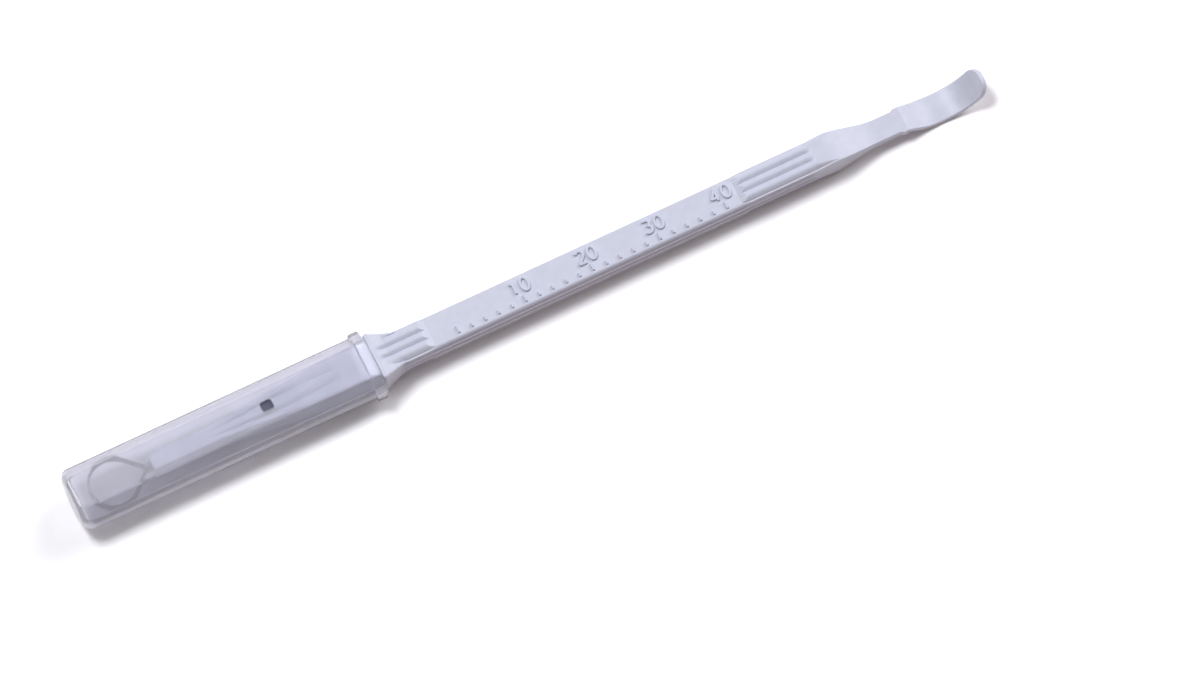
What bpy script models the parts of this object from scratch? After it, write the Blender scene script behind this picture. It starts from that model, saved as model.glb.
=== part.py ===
"""Disposable ring curette with a push-on protective cap.

Three pieces: a one-piece plastic handle with a spatula end, a steel ring blade whose two legs sit in a
pocket of the handle's neck, and a translucent cap that slides off over the blade.

Sizes are in millimetres along the handle's axis: x = 0 is the collar's front face, where the cap's mouth
seats, +x runs to the spatula's tip, and z = 0 is the handle's axis with the flat panel facing +z. The
three pieces hang on one empty. It dips the tip by the half degree or so at which the capped curette rests
on its cap's flange and its spatula, and it puts the box round all pieces on the floor, centred at x = 0.
"""

import math

import bmesh
import bpy
from mathutils import Vector

MM = 0.001

# Ring blade: a strip bent into a loop, with its two legs side by side
RING_DIAMETER = 7.0
STRIP_THICKNESS = 0.3
STRIP_HEIGHT = 1.7
EDGE_BEVEL = 0.45
LEG_GAP = 0.12
LEG_SPREAD = 0.3
WAIST_LENGTH = 2.05
LEG_DEPTH = 6.0
PINCH_X = 0.95

# Neck and block, which the cap covers
NECK_LENGTH = 32.75
NECK_STRAIGHT = 8.0
NECK_WIDTH = 2.5
NECK_HEIGHT = 3.05
BLOCK_LENGTH = 5.3
BLOCK_WIDTH = 5.2
BLOCK_HEIGHT = 4.7
NECK_GROOVE_DEPTH = 0.42

# Collar and flare
COLLAR_WIDTH = 6.9
COLLAR_HEIGHT = 5.5
COLLAR_THICKNESS = 0.75
COLLAR_RIM = 0.28
EDGE_CHAMFER = 0.3
FLARE_LENGTH_SIDE = 3.6
FLARE_LENGTH_FACE = 2.2

# Fluted grip
GRIP_END = 68.5
GRIP_WIDTH_START = 4.75
GRIP_WIDTH_END = 4.5
TEXT_SIDE = 2.15
BACK_SIDE = 2.25
GROOVE_SPACING = 1.46
GROOVE_DEPTH = 0.33
GROOVE_WIDTH = 1.0
FLUTE_LEG = 0.58
FLUTE_POINT_X = 1.1
FLUTE_POINT_Y = 1.25
FLUTE_CORNER_X = 3.9
FLUTE_FULL_X = 4.5
PLAIN_EDGE = 0.22
SIDE_FLUTE_START = 2.4
SIDE_FLUTE_END = 65.4
FACE_FLUTE_START = 0.6
FACE_FLUTE_END = 65.6
FLUTE_RUN_OUT = 1.1

# Flat panel on the text side
PANEL_START = 8.4
PANEL_LENGTH = 45.6
PANEL_RAMP = 1.3
PANEL_RISE = 0.12
PANEL_EDGE = 0.36

# Waist between grip and spatula
WAIST_WIDTH = 3.25
WAIST_TOP = 0.0
WAIST_THICKNESS = 1.22
TAPER_START = 66.6
TAPER_LENGTH = 9.0
SHOULDER_X = 78.2
SHOULDER_WIDTH = 3.75

# Spatula blade, curved upwards
SPATULA_WIDTH = 4.22
SPATULA_THICKNESS = 0.76
SPATULA_LOW_X = 84.3
SPATULA_LOW_TOP = -1.8
SPATULA_ENTRY_ANGLE = math.radians(29)
SPATULA_TIP_ANGLE = math.radians(64)
SPATULA_RADIUS = 7.0
SPATULA_EDGE = 0.16
SPATULA_CORNER = 1.35
KINK_RADIUS = 1.3
STEM_FADE = 3.0

# Protective cap
CAP_BACK_SPACE = 1.95
CAP_WALL = 0.55
CAP_END_WALL = 0.7
CAP_WIDTH_CLEARANCE = 0.2
CAP_GRIP_CLEARANCE = 0.06
CAP_SEAT_GAP = 0.05
CAP_SIDE_WALL = 0.65
CAP_BEVEL_WALL = 0.37
CAP_TOP_FLAT = 4.8
CAP_TAPER = 0.04
CAP_END_ROUND = 1.4
FLANGE_LENGTH = 1.55
FLANGE_PROUD = 0.45
FLANGE_ROUND = 0.3
VENT_LENGTH = 1.7
VENT_WIDTH = 1.4
VENT_X = -15.65
VENT_ROUND = 0.35

# Fits and facets
POCKET_CLEARANCE = 0.08
LOOP_STEPS = 44
SMOOTH_ANGLE = math.radians(32)

# Worked out from the sizes above
RING_CENTRE_X = -NECK_LENGTH - WAIST_LENGTH - RING_DIAMETER / 2
CAVITY_WIDTH = RING_DIAMETER + 2 * CAP_WIDTH_CLEARANCE
CAVITY_HEIGHT = BLOCK_HEIGHT + 2 * CAP_GRIP_CLEARANCE
CAP_WIDTH = CAVITY_WIDTH + 2 * CAP_SIDE_WALL
CAP_HEIGHT = CAVITY_HEIGHT + 2 * CAP_WALL
CAVITY_TOP_FLAT = CAP_TOP_FLAT + 2 * CAP_WALL - 2 * math.sqrt(2) * CAP_BEVEL_WALL
CAP_END_X = RING_CENTRE_X - RING_DIAMETER / 2 - CAP_BACK_SPACE - CAP_END_WALL
PANEL_END = PANEL_START + PANEL_LENGTH
PANEL_TOP = TEXT_SIDE + PANEL_RISE


def smooth(value, start, end):
    """0 before start, 1 after end, and an S-shaped blend between them."""
    t = min(max((value - start) / (end - start), 0.0), 1.0)
    return t * t * (3 - 2 * t)


def ramp(value, start, end):
    """0 before start, 1 after end, and a straight blend between them."""
    return min(max((value - start) / (end - start), 0.0), 1.0)


def mix(a, b, t):
    return a + (b - a) * t


# Cross-section of the handle

def arc_corner(half, top, leg, cove):
    """Seven points round a corner, rounded where cove is 0 and hollowed to a flute where it is 1.

    The corner's two legs run back by leg along its two faces; the first point lies on the top face.
    """
    points = []
    for step in range(7):
        angle = math.pi / 2 * step / 6
        back_across = mix(1 - math.sin(angle), math.cos(angle), cove) * leg
        back_up = mix(1 - math.cos(angle), math.sin(angle), cove) * leg
        points.append((half - back_across, top - back_up))
    return points


def square_corner(half, top, chamfer, inner, outer, sag):
    """Seven points: a hollow in the top face from inner to outer, then the corner with its chamfer."""
    points = []
    for step in range(5):
        across = mix(inner, outer, step / 4)
        points.append((across, top - sag * math.sin(math.pi * step / 4)))
    return points + [(half - chamfer, top), (half, top - chamfer)]


def blend_points(first, second, t):
    return [(mix(a[0], b[0], t), mix(a[1], b[1], t)) for a, b in zip(first, second)]


def face_points(reach, groove_centre, groove_depth):
    """Seven (position, drop) pairs across a face: two V grooves with a rib between them.

    A groove gets narrower as it gets shallower, so it runs out in a point.
    """
    half = GROOVE_WIDTH / 2 * groove_depth / GROOVE_DEPTH
    centre = min(groove_centre, reach * 0.62)
    half = min(max(half, 0.05), centre * 0.8, (reach - centre) * 0.9)
    side = [(centre + half, 0.0), (centre, groove_depth), (centre - half, 0.0)]
    return [(-u, d) for u, d in side] + [(0.0, 0.0)] + [(u, d) for u, d in reversed(side)]


class Section:
    """Sizes of the handle's cross-section at one place; see outline() for the order of its points."""

    def __init__(self, width, top, back):
        self.half = width / 2
        self.top = top
        self.back = back
        self.top_corner = self.plain_corner(top)
        self.back_corner = self.plain_corner(-back)
        self.face_groove = 0.0
        self.side_groove = 0.0
        self.spacing = GROOVE_SPACING / 2
        self.stem_half = None
        self.plate = None

    def plain_corner(self, up):
        """A chamfered corner, with its other points side by side on the face next to the chamfer."""
        end = self.half - EDGE_CHAMFER - 0.04
        return square_corner(self.half, up, EDGE_CHAMFER, end - 0.2, end, 0.0)

    def outline(self):
        """56 points (across, up), from the top face's left end, clockwise as seen from the tip."""
        half, top, back = self.half, self.top, self.back
        middle = (top + back) / 2
        side_reach = min(self.top_corner[-1][1] - middle, middle + self.back_corner[-1][1])
        top_face = face_points(self.top_corner[0][0], self.spacing, self.face_groove)
        side_face = face_points(side_reach, self.spacing, self.side_groove)
        back_face = face_points(self.back_corner[0][0], self.spacing, self.side_groove)
        points = [(u, top - d) for u, d in top_face]
        points += self.top_corner
        points += [(half - d, middle - u) for u, d in side_face]
        points += [(a, -u) for a, u in reversed(self.back_corner)]
        points += [(-u, back + d) for u, d in back_face]
        points += [(-a, -u) for a, u in self.back_corner]
        points += [(-half + d, middle + u) for u, d in side_face]
        points += [(-a, u) for a, u in reversed(self.top_corner)]
        if self.stem_half is not None:
            points = [self.pull_in(a, u) for a, u in points]
        return points

    def pull_in(self, across, up):
        """Below the plate the section narrows to the stem that carries it."""
        depth = ramp(self.top - up, self.plate * 0.9, self.plate * 1.25)
        limit = mix(self.half, self.stem_half, depth)
        return (max(-limit, min(limit, across)), up)


def plain_stations():
    """(x, Section) along the straight part of the handle, from the neck's front to the spatula's kink."""
    stations = []
    neck_front = -NECK_LENGTH
    block_front = -BLOCK_LENGTH
    groove_start = neck_front + NECK_STRAIGHT
    for inset in (0.18, 0.05, 0.0):
        section = Section(NECK_WIDTH - 2 * inset, NECK_HEIGHT / 2 - inset, inset - NECK_HEIGHT / 2)
        stations.append((neck_front + 0.18 - inset, section))
    neck_steps = 14
    for step in range(neck_steps + 1):
        x = mix(groove_start, block_front - 0.1, step / neck_steps)
        grow = smooth(x, groove_start - 1.0, block_front + 1.0)
        width = mix(NECK_WIDTH, BLOCK_WIDTH, grow)
        height = mix(NECK_HEIGHT, BLOCK_HEIGHT, min(1.0, grow * 1.04))
        section = Section(width, height / 2, -height / 2)
        lens = math.sin(math.pi * (0.03 + 0.87 * step / neck_steps))
        section.face_groove = section.side_groove = NECK_GROOVE_DEPTH * lens
        section.spacing = mix(0.7, 1.0, math.sin(math.pi * step / neck_steps))
        stations.append((x, section))
    for x in (block_front, block_front / 2, 0.0):
        stations.append((x, Section(BLOCK_WIDTH, BLOCK_HEIGHT / 2, -BLOCK_HEIGHT / 2)))
    stations += collar_stations()
    stations += grip_stations()
    return stations


def collar_stations():
    """The collar's flat front face, its rounded rim, and the start of the flare behind it."""
    stations = []
    for quarter in range(5):
        angle = math.pi / 2 * quarter / 4
        inset = COLLAR_RIM * (1 - math.sin(angle))
        x = COLLAR_RIM * (1 - math.cos(angle))
        stations.append((x, collar_section(inset)))
    for quarter in range(1, 3):
        angle = math.pi / 4 * quarter / 2
        inset = COLLAR_RIM * (1 - math.cos(angle))
        x = COLLAR_THICKNESS - COLLAR_RIM + COLLAR_RIM * math.sin(angle)
        stations.append((x, collar_section(inset)))
    return stations


def collar_section(inset):
    half_height = COLLAR_HEIGHT / 2 - inset
    return Section(COLLAR_WIDTH - 2 * inset, half_height, -half_height)


def grip_stations():
    """Flare, flutes, panel, and the taper to the waist, up to the kink."""
    run = FLUTE_RUN_OUT
    marks = [FLUTE_POINT_X, 1.5, 1.85, FLARE_LENGTH_FACE, 2.6, SIDE_FLUTE_START + run / 2, 3.3]
    marks += [FLARE_LENGTH_SIDE, FLUTE_CORNER_X, FLUTE_FULL_X]
    marks += [PANEL_START - PANEL_RAMP - 0.7, PANEL_START - PANEL_RAMP - 0.3]
    marks += [PANEL_START - PANEL_RAMP, PANEL_START - PANEL_RAMP / 2, PANEL_START]
    marks += [mix(PANEL_START, PANEL_END, t / 4) for t in range(1, 4)]
    marks += [PANEL_END, PANEL_END + PANEL_RAMP / 2, PANEL_END + PANEL_RAMP, PANEL_END + PANEL_RAMP + 0.4]
    marks += [60.0, SIDE_FLUTE_END - run, SIDE_FLUTE_END - run / 2, SIDE_FLUTE_END, 66.2]
    taper_steps = 13
    marks += [mix(TAPER_START + 0.3, TAPER_START + TAPER_LENGTH, t / taper_steps) for t in range(taper_steps + 1)]
    marks += [SHOULDER_X - 0.3, SHOULDER_X, SHOULDER_X + 0.3, kink_start()]
    return [(x, grip_section(x)) for x in marks]


def grip_section(x):
    run = FLUTE_RUN_OUT
    along = ramp(x, FLARE_LENGTH_SIDE, GRIP_END)
    width = mix(GRIP_WIDTH_START, GRIP_WIDTH_END, along)
    width = mix(width, COLLAR_WIDTH - COLLAR_RIM, 1 - ramp(x, COLLAR_THICKNESS, FLARE_LENGTH_SIDE))
    flare_face = 1 - ramp(x, COLLAR_THICKNESS, FLARE_LENGTH_FACE)
    collar_half = (COLLAR_HEIGHT - COLLAR_RIM) / 2
    panel = ramp(x, PANEL_START - PANEL_RAMP, PANEL_START) - ramp(x, PANEL_END, PANEL_END + PANEL_RAMP)
    top = mix(mix(TEXT_SIDE, PANEL_TOP, panel), collar_half, flare_face)
    back = mix(-BACK_SIDE, -collar_half, flare_face)
    taper_end = TAPER_START + TAPER_LENGTH
    top = mix(top, WAIST_TOP, smooth(x, TAPER_START, taper_end))
    back = mix(back, WAIST_TOP - WAIST_THICKNESS, smooth(x, TAPER_START + 1.4, taper_end - 1.8))
    width = mix(width, WAIST_WIDTH, smooth(x, TAPER_START + 1.2, taper_end))
    width += shoulder_growth(x)
    section = Section(width, top, back)

    open_face = 1 - ramp(x, PANEL_START - PANEL_RAMP - 0.7, PANEL_START - PANEL_RAMP)
    open_face += ramp(x, PANEL_END + PANEL_RAMP * 0.6, PANEL_END + PANEL_RAMP)
    face_on = ramp(x, FACE_FLUTE_START, FACE_FLUTE_START + run)
    face_off = 1 - ramp(x, FACE_FLUTE_END - run, FACE_FLUTE_END)
    section.face_groove = GROOVE_DEPTH * min(open_face, face_on, face_off)
    side_on = ramp(x, SIDE_FLUTE_START, SIDE_FLUTE_START + run)
    side_off = 1 - ramp(x, SIDE_FLUTE_END - run, SIDE_FLUTE_END)
    section.side_groove = GROOVE_DEPTH * min(side_on, side_off)

    flute_off = 1 - ramp(x, SIDE_FLUTE_END, GRIP_END)
    leg = mix(PLAIN_EDGE, FLUTE_LEG, flute_off)
    cove = min(1.0, flute_off * 1.6)
    flat = ramp(x, PANEL_START - PANEL_RAMP, PANEL_START - 0.2) - ramp(x, PANEL_END, PANEL_END + PANEL_RAMP)
    section.top_corner = flute_corner(section.half, top, x, mix(leg, PANEL_EDGE, flat), mix(cove, 0.0, flat))
    section.back_corner = flute_corner(section.half, -back, x, leg, cove)
    return section


def flute_corner(half, up, x, leg, cove):
    """The corner flute: it starts in a point on the flare's face, and its outer edge runs to the corner."""
    full = arc_corner(half, up, leg, cove)
    if x >= FLUTE_FULL_X:
        return full
    grow = ramp(x, FLUTE_POINT_X, FLUTE_CORNER_X)
    chamfer = mix(EDGE_CHAMFER, 0.06, grow)
    inner = mix(FLUTE_POINT_Y, GRIP_WIDTH_START / 2 - leg, ramp(x, FLUTE_POINT_X, FLARE_LENGTH_SIDE))
    outer = mix(FLUTE_POINT_Y + 0.2, half - chamfer - 0.06, grow)
    start = square_corner(half, up, chamfer, inner, outer, FLUTE_LEG * 0.85 * grow ** 1.5)
    return blend_points(start, full, ramp(x, FLUTE_CORNER_X, FLUTE_FULL_X))


def shoulder_growth(x):
    """How much wider than the waist the spatula's shoulder is at x."""
    return (SHOULDER_WIDTH - WAIST_WIDTH) * smooth(x, SHOULDER_X - 0.3, SHOULDER_X + 0.3)


# Spatula

def scoop_start():
    """(x, z) where the straight slope meets the scoop's arc."""
    entry = SPATULA_ENTRY_ANGLE
    x = SPATULA_LOW_X - SPATULA_RADIUS * math.sin(entry)
    return x, SPATULA_LOW_TOP + SPATULA_RADIUS * (1 - math.cos(entry))


def slope_drop():
    """How far the straight slope between the kink's arc and the scoop's arc falls."""
    kink_drop = KINK_RADIUS * (1 - math.cos(SPATULA_ENTRY_ANGLE))
    return WAIST_TOP - kink_drop - scoop_start()[1]


def kink_start():
    """Where the waist ends, so that the arcs and the straight slope between them meet."""
    entry = SPATULA_ENTRY_ANGLE
    return scoop_start()[0] - slope_drop() / math.tan(entry) - KINK_RADIUS * math.sin(entry)


def spatula_path():
    """(x, z, angle, distance) along the spatula's upper face, from the kink to the tip.

    It bends down at the kink, runs straight, and scoops round its lowest point up to the tip.
    """
    entry, tip = SPATULA_ENTRY_ANGLE, SPATULA_TIP_ANGLE
    corner_turn = SPATULA_CORNER / SPATULA_RADIUS
    pieces = [
        (KINK_RADIUS * entry, 0.0, -entry, 4),
        (slope_drop() / math.sin(entry), -entry, -entry, 3),
        (SPATULA_RADIUS * (entry + tip - corner_turn), -entry, tip - corner_turn, 16),
        (SPATULA_CORNER, tip - corner_turn, tip, 7),
    ]
    x, z, distance = kink_start(), WAIST_TOP, 0.0
    path = [(x, z, 0.0, 0.0)]
    for length, angle_from, angle_to, steps in pieces:
        step_length = length / steps
        for step in range(steps):
            angle_mid = mix(angle_from, angle_to, (step + 0.5) / steps)
            x += step_length * math.cos(angle_mid)
            z += step_length * math.sin(angle_mid)
            distance += step_length
            path.append((x, z, mix(angle_from, angle_to, (step + 1) / steps), distance))
    return path


def spatula_section(distance, total):
    """A thin plate, carried near the kink by a stem that thins out beneath it."""
    width = mix(SHOULDER_WIDTH, SPATULA_WIDTH, smooth(distance, 0.0, 4.5))
    to_end = total - distance
    if to_end < SPATULA_CORNER:
        corner = SPATULA_CORNER
        width -= 2 * (corner - math.sqrt(max(0.0, corner ** 2 - (corner - to_end) ** 2)))
    stem = 1 - smooth(distance, 0.3, STEM_FADE)
    depth = mix(SPATULA_THICKNESS, WAIST_THICKNESS, stem)
    section = Section(width, 0.0, -depth)
    section.top_corner = arc_corner(width / 2, 0.0, SPATULA_EDGE, 0.0)
    section.back_corner = arc_corner(width / 2, depth, SPATULA_EDGE, 0.0)
    if distance > 0.0 and stem > 0.0:
        section.stem_half = mix(width / 2, WAIST_WIDTH / 2 - 0.1, stem)
        section.plate = SPATULA_THICKNESS * 0.8
    return section


def handle_rings():
    """Rings of 3-D points along the handle, all with the same number of points."""
    rings = []
    for x, section in plain_stations():
        rings.append([Vector((x, -a, u)) for a, u in section.outline()])
    path = spatula_path()
    total = path[-1][3]
    for x, z, angle, distance in path[1:]:
        section = spatula_section(min(distance, total - 0.02), total)
        normal = Vector((-math.sin(angle), 0.0, math.cos(angle)))
        place = Vector((x, 0.0, z))
        rings.append([place + normal * u + Vector((0.0, -a, 0.0)) for a, u in section.outline()])
    return rings


# Blade

def strip_path():
    """(x, y) along the middle of the strip: one leg, round the loop, and the other leg back.

    From the neck each leg runs to the waist beside the other, then leaves it on a line that touches the
    loop's circle.
    """
    radius = (RING_DIAMETER - STRIP_THICKNESS) / 2
    pinch = (LEG_GAP + STRIP_THICKNESS) / 2
    waist_x = -NECK_LENGTH - PINCH_X
    reach = math.hypot(waist_x - RING_CENTRE_X, pinch)
    opening = math.acos(radius / reach) + math.atan2(pinch, waist_x - RING_CENTRE_X)
    leg = [(-NECK_LENGTH + LEG_DEPTH, LEG_SPREAD), (-NECK_LENGTH - 0.1, LEG_SPREAD)]
    leg += [(waist_x + 0.45, pinch + 0.02), (waist_x + 0.2, pinch), (waist_x, pinch)]
    loop = []
    for step in range(LOOP_STEPS + 1):
        angle = mix(opening, 2 * math.pi - opening, step / LOOP_STEPS)
        loop.append((RING_CENTRE_X + radius * math.cos(angle), radius * math.sin(angle)))
    return leg + loop + [(x, -y) for x, y in reversed(leg)]


def strip_section():
    """(outward, up) round the strip: flat outside, its lower edge ground sharp from the inside."""
    half = STRIP_THICKNESS / 2
    top = STRIP_HEIGHT / 2
    edge = 0.04
    return [(half, top), (half, -top), (half - edge, -top), (-half, -top + EDGE_BEVEL), (-half, top)]


def offset_normals(path):
    """Outward normal at each point of a path that runs anticlockwise, mitred at its corners."""
    normals = []
    for index, point in enumerate(path):
        before = Vector(path[max(index - 1, 0)])
        after = Vector(path[min(index + 1, len(path) - 1)])
        here = Vector(point)
        first = (here - before) if index > 0 else (after - here)
        second = (after - here) if index < len(path) - 1 else (here - before)
        direction = (first.normalized() + second.normalized()).normalized()
        stretch = 1 / max(direction.dot(first.normalized()), 0.5)
        normals.append(Vector((direction.y, -direction.x)) * stretch)
    return normals


def blade_rings():
    path = strip_path()
    section = strip_section()
    rings = []
    for (x, y), normal in zip(path, offset_normals(path)):
        rings.append([Vector((x + normal.x * out, y + normal.y * out, up)) for out, up in section])
    return rings


# Cap

def octagon(width, height, top_flat):
    """Eight corners (across, up) with 45-degree bevels, from the top flat's right end, clockwise."""
    w, h, t = width / 2, height / 2, top_flat / 2
    s = t + h - w
    return [(t, h), (w, s), (w, -s), (t, -h), (-t, -h), (-w, -s), (-w, s), (-t, h)]


def rounded(corners, radius, steps=3):
    """The polygon with each corner replaced by an arc that touches both of its sides."""
    points = []
    count = len(corners)
    for index, corner in enumerate(corners):
        here = Vector(corner)
        before = (Vector(corners[index - 1]) - here).normalized()
        after = (Vector(corners[(index + 1) % count]) - here).normalized()
        half_angle = before.angle(after) / 2
        middle = here + (before + after).normalized() * (radius / math.sin(half_angle))
        start = here + before * (radius / math.tan(half_angle)) - middle
        end = here + after * (radius / math.tan(half_angle)) - middle
        for step in range(steps + 1):
            blend = start.lerp(end, step / steps).normalized() * radius
            points.append(tuple(middle + blend))
    return points


def cap_outer(inset, x):
    """The cap's outer section at x, which narrows a little towards the closed end."""
    taper = CAP_TAPER * ramp(-x, FLANGE_LENGTH, -CAP_END_X)
    shrink = 2 * inset + taper
    return rounded(octagon(CAP_WIDTH - shrink, CAP_HEIGHT - shrink, CAP_TOP_FLAT - shrink * 0.41), 0.35)


def cap_inner(inset):
    """The cavity's section: as wide as the ring needs and as high as the block needs."""
    shrink = 2 * inset
    return rounded(octagon(CAVITY_WIDTH - shrink, CAVITY_HEIGHT - shrink, CAVITY_TOP_FLAT - shrink * 0.41), 0.3)


def quarter_turn(radius, steps):
    """(inset, distance) pairs round a quarter circle, from full inset to none."""
    pairs = []
    for step in range(steps + 1):
        angle = math.pi / 2 * step / steps
        pairs.append((radius * (1 - math.sin(angle)), radius * (1 - math.cos(angle))))
    return pairs


def cap_rings():
    """Rings from the closed end's outside, over the flange and round the mouth, to the cavity's end."""
    mouth = -CAP_SEAT_GAP
    rings = []
    for inset, distance in quarter_turn(CAP_END_ROUND, 5):
        x = CAP_END_X + distance
        rings.append((x, cap_outer(inset, x)))
    flange_back = mouth - FLANGE_LENGTH
    rings.append((flange_back, cap_outer(0.0, flange_back)))
    for inset, distance in quarter_turn(FLANGE_ROUND, 2):
        rings.append((flange_back + distance, flange_section(inset)))
    for inset, distance in reversed(quarter_turn(FLANGE_ROUND, 2)):
        rings.append((mouth - distance, flange_section(inset)))
    inner_end = CAP_END_X + CAP_END_WALL
    rings.append((mouth, cap_inner(0.0)))
    for inset, distance in reversed(quarter_turn(CAP_END_ROUND - 0.4, 4)):
        x = inner_end + distance
        rings.append((x, cap_inner(inset)))
    return [[Vector((x, -a, u)) for a, u in points] for x, points in rings]


def flange_section(inset):
    grow = 2 * (FLANGE_PROUD - inset)
    return rounded(octagon(CAP_WIDTH + grow, CAP_HEIGHT + grow, CAP_TOP_FLAT + grow * 0.41), 0.4)


# Meshes and objects

def loft(name, rings):
    """A closed mesh through rings of equal length, with its two ends filled."""
    mesh = bpy.data.meshes.new(name)
    shape = bmesh.new()
    rows = [[shape.verts.new(point * MM) for point in ring] for ring in rings]
    count = len(rings[0])
    for row, following in zip(rows, rows[1:]):
        for index in range(count):
            beside = (index + 1) % count
            shape.faces.new((row[index], row[beside], following[beside], following[index]))
    shape.faces.new(rows[0])
    shape.faces.new(rows[-1])
    bmesh.ops.recalc_face_normals(shape, faces=shape.faces)
    bmesh.ops.triangulate(shape, faces=shape.faces)
    shape.to_mesh(mesh)
    shape.free()
    return mesh


def finish(name, colour, roughness, metallic, alpha=1.0, transmission=0.0):
    material = bpy.data.materials.new(name)
    material.use_nodes = True
    shader = material.node_tree.nodes["Principled BSDF"]
    shader.inputs["Base Color"].default_value = (*colour, 1.0)
    shader.inputs["Roughness"].default_value = roughness
    shader.inputs["Metallic"].default_value = metallic
    shader.inputs["Alpha"].default_value = alpha
    shader.inputs["Transmission Weight"].default_value = transmission
    return material


def add_piece(name, mesh, material, parent):
    mesh.materials.append(material)
    mesh.shade_smooth()
    mesh.set_sharp_from_angle(angle=SMOOTH_ANGLE)
    piece = bpy.data.objects.new(name, mesh)
    bpy.context.collection.objects.link(piece)
    piece.parent = parent
    return piece


def add_cutter(name, mesh, target):
    """A wire-drawn guide that a Boolean takes out of the target."""
    cutter = bpy.data.objects.new(name, mesh)
    bpy.context.collection.objects.link(cutter)
    cutter.parent = target
    cutter.hide_render = True
    cutter.display_type = "WIRE"
    cut = target.modifiers.new(name, "BOOLEAN")
    cut.operation = "DIFFERENCE"
    cut.solver = "EXACT"
    cut.object = cutter


def blade_pocket():
    """The pocket in the neck that holds the strip's two legs, open at the neck's front."""
    half_width = LEG_SPREAD + STRIP_THICKNESS / 2 + POCKET_CLEARANCE
    half_height = STRIP_HEIGHT / 2 + POCKET_CLEARANCE
    corners = [(half_width, half_height), (half_width, -half_height)]
    corners += [(-half_width, -half_height), (-half_width, half_height)]
    ends = (-NECK_LENGTH - 1.0, -NECK_LENGTH + LEG_DEPTH + POCKET_CLEARANCE)
    return [[Vector((x, -a, u)) for a, u in corners] for x in ends]


def vent_hole():
    """A small rounded rectangle through the cap's upper wall."""
    length, width, corner = VENT_LENGTH / 2, VENT_WIDTH / 2, VENT_ROUND
    outline = rounded([(length, width), (length, -width), (-length, -width), (-length, width)], corner, 4)
    heights = (CAVITY_HEIGHT / 2 - 0.4, CAP_HEIGHT / 2 + 0.5)
    return [[Vector((VENT_X + a, b, z)) for a, b in outline] for z in heights]


def lowest(meshes, tilt):
    """The lowest height of the meshes once they are turned about Y by tilt, in metres."""
    corners = [vertex.co for mesh in meshes for vertex in mesh.vertices]
    return min(co.z * math.cos(tilt) - co.x * math.sin(tilt) for co in corners)


def rest_tilt(cap_mesh, handle_mesh):
    """The dip of the tip at which the cap's flange and the spatula both touch the floor."""
    low, high = 0.0, math.radians(5)
    for _ in range(40):
        middle = (low + high) / 2
        if lowest([handle_mesh], middle) > lowest([cap_mesh], middle):
            low = middle
        else:
            high = middle
    return (low + high) / 2


def middle_of_length(meshes, tilt):
    corners = [vertex.co for mesh in meshes for vertex in mesh.vertices]
    along = [co.x * math.cos(tilt) + co.z * math.sin(tilt) for co in corners]
    return (min(along) + max(along)) / 2


def build():
    for leftover in list(bpy.data.objects):
        bpy.data.objects.remove(leftover, do_unlink=True)
    handle_mesh = loft("handle", handle_rings())
    blade_mesh = loft("ring_blade", blade_rings())
    cap_mesh = loft("protective_cap", cap_rings())
    outer_meshes = [handle_mesh, cap_mesh]
    tilt = rest_tilt(cap_mesh, handle_mesh)

    axis = bpy.data.objects.new("handle_axis", None)
    axis.location = (-middle_of_length(outer_meshes, tilt), 0.0, -lowest(outer_meshes, tilt))
    axis.rotation_euler = (0.0, tilt, 0.0)
    bpy.context.collection.objects.link(axis)

    white = finish("white_plastic", (0.80, 0.80, 0.86), 0.45, 0.0)
    steel = finish("stainless_steel", (0.45, 0.46, 0.48), 0.22, 1.0)
    clear = finish("frosted_cap", (0.82, 0.82, 0.88), 0.18, 0.0, 0.5, 0.8)

    handle = add_piece("handle", handle_mesh, white, axis)
    add_cutter("blade_pocket", loft("blade_pocket", blade_pocket()), handle)
    add_piece("ring_blade", blade_mesh, steel, axis)
    cap = add_piece("protective_cap", cap_mesh, clear, axis)
    add_cutter("vent_hole", loft("vent_hole", vent_hole()), cap)


build()
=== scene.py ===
"""Looks of a disposable ring curette that lies on a white table with its protective cap on.

Sizes are in millimetres along the handle's axis: x = 0 is the collar's front face, where the cap's mouth
seats, +x runs to the spatula's tip, +y is across and +z is out of the flat panel. place() turns them into
the frame's metres, where the tip dips by the half degree or so at which the curette rests.
"""

import math

import bpy
import numpy as np
from mathutils import Matrix, Vector


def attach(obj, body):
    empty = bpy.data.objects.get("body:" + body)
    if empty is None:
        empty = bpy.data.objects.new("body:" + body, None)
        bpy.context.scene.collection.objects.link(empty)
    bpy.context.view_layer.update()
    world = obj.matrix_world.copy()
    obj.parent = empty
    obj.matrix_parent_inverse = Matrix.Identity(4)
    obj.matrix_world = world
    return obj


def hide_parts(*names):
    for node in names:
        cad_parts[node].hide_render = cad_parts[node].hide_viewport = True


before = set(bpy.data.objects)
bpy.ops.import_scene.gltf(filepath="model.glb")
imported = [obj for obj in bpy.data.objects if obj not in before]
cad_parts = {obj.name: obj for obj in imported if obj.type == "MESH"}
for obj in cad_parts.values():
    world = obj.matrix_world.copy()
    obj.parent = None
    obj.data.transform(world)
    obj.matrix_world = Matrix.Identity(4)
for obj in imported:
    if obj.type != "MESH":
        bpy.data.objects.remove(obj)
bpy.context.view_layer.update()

# Where the axis passes the collar's front face in the frame, and how far it dips
COLLAR_AT = (-23.4142, 0.0, 3.4063)
REST_TILT = math.radians(0.57583)

# Ring blade
RING_DIAMETER = 7.0
STRIP_THICKNESS = 0.3
STRIP_HEIGHT = 1.7
EDGE_BEVEL = 0.45
LEG_GAP = 0.12
LEG_SPREAD = 0.3
LEG_DEPTH = 6.0
STRIP_SOFT = 0.04
EDGE_TIP = (0.012, 0.01)
PINCH_X = -33.7
RING_CENTRE_X = -38.3

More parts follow.
